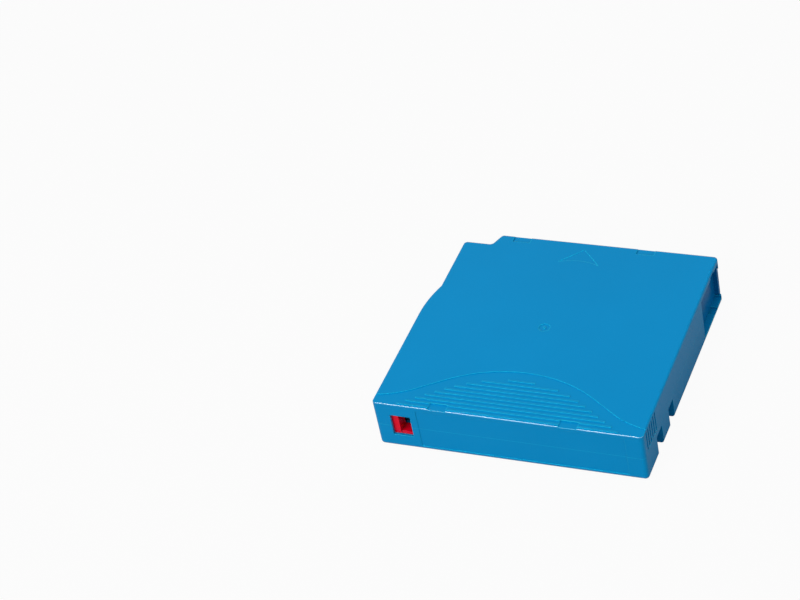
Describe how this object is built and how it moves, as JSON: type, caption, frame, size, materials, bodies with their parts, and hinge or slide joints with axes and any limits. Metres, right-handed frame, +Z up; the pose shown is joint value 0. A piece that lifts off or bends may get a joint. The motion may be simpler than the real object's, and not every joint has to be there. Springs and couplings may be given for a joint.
{
  "type": "data tape cartridge",
  "caption": "Flat single-reel data tape cartridge with a stepped corner, a sliding side door, a lockable reel and a write-protect switch in its label end.",
  "frame": {"origin": "middle of the underside's bounding box", "axes": "+X right along the label end seen from outside, +Y towards the end that enters the drive, +Z up"},
  "size_m": [0.1054, 0.102, 0.0215],
  "materials": {
    "blue_shell": "fine satin moulded",
    "screw_steel": "zinc plated",
    "red_plastic": "smooth moulded",
    "door_plastic": "fine satin moulded",
    "spring_steel": "bright drawn wire",
    "pin_steel": "ground",
    "leader_film": "smooth film",
    "clip_plastic": "moulded",
    "board_green": "solder mask",
    "copper": "plated",
    "chip_black": "sealed resin",
    "reel_plastic": "moulded",
    "flange_plastic": "moulded",
    "tape": "wound edge",
    "pad_plastic": "moulded",
    "brake_plastic": "moulded"
  },
  "bodies": {
    "case": {"upper_shell": "blue_shell", "lower_shell": "blue_shell", "case_screws": "screw_steel", "door_spring": "spring_steel", "leader_pin": "pin_steel", "tape_leader": "leader_film", "leader_clip": "clip_plastic", "pin_spring": "spring_steel", "brake_spring": "spring_steel", "memory_board": "board_green", "memory_antenna": "copper", "memory_chip": "chip_black"},
    "switch": {"write_protect_slider": "red_plastic"},
    "door": {"door": "door_plastic"},
    "reel": {"reel_hub": "reel_plastic", "upper_flange": "flange_plastic", "reel_plate": "pin_steel", "tape_pack": "tape"},
    "release": {"release_pad": "pad_plastic"},
    "brake": {"brake_button": "brake_plastic"}
  },
  "joints": [
    {"name": "switch_slide", "type": "slide", "parent": "case", "child": "switch", "axis": [1, 0, 0], "range_m": [0, 0.005]},
    {"name": "door_slide", "type": "slide", "parent": "case", "child": "door", "axis": [0, -1, 0], "range_m": [0, 0.02], "stiffness_N_per_m": 20, "springref_m": -0.01, "deforming": ["door_spring"]},
    {"name": "reel_spin", "type": "hinge", "parent": "case", "child": "reel", "pos_m": [-0.0012, 0, 0.01], "axis": [0, 0, 1], "continuous": true},
    {"name": "release_lift", "type": "slide", "parent": "reel", "child": "release", "axis": [0, 0, 1], "range_m": [0, 0.0016], "stiffness_N_per_m": 600},
    {"name": "brake_lift", "type": "slide", "parent": "case", "child": "brake", "axis": [0, 0, 1], "range_m": [0, 0.0016], "stiffness_N_per_m": 600, "springref_m": -0.004, "deforming": ["brake_spring"]}
  ],
  "couplings": [
    {"joint": "release_lift", "follows": "brake_lift", "ratio": 1}
  ]
}
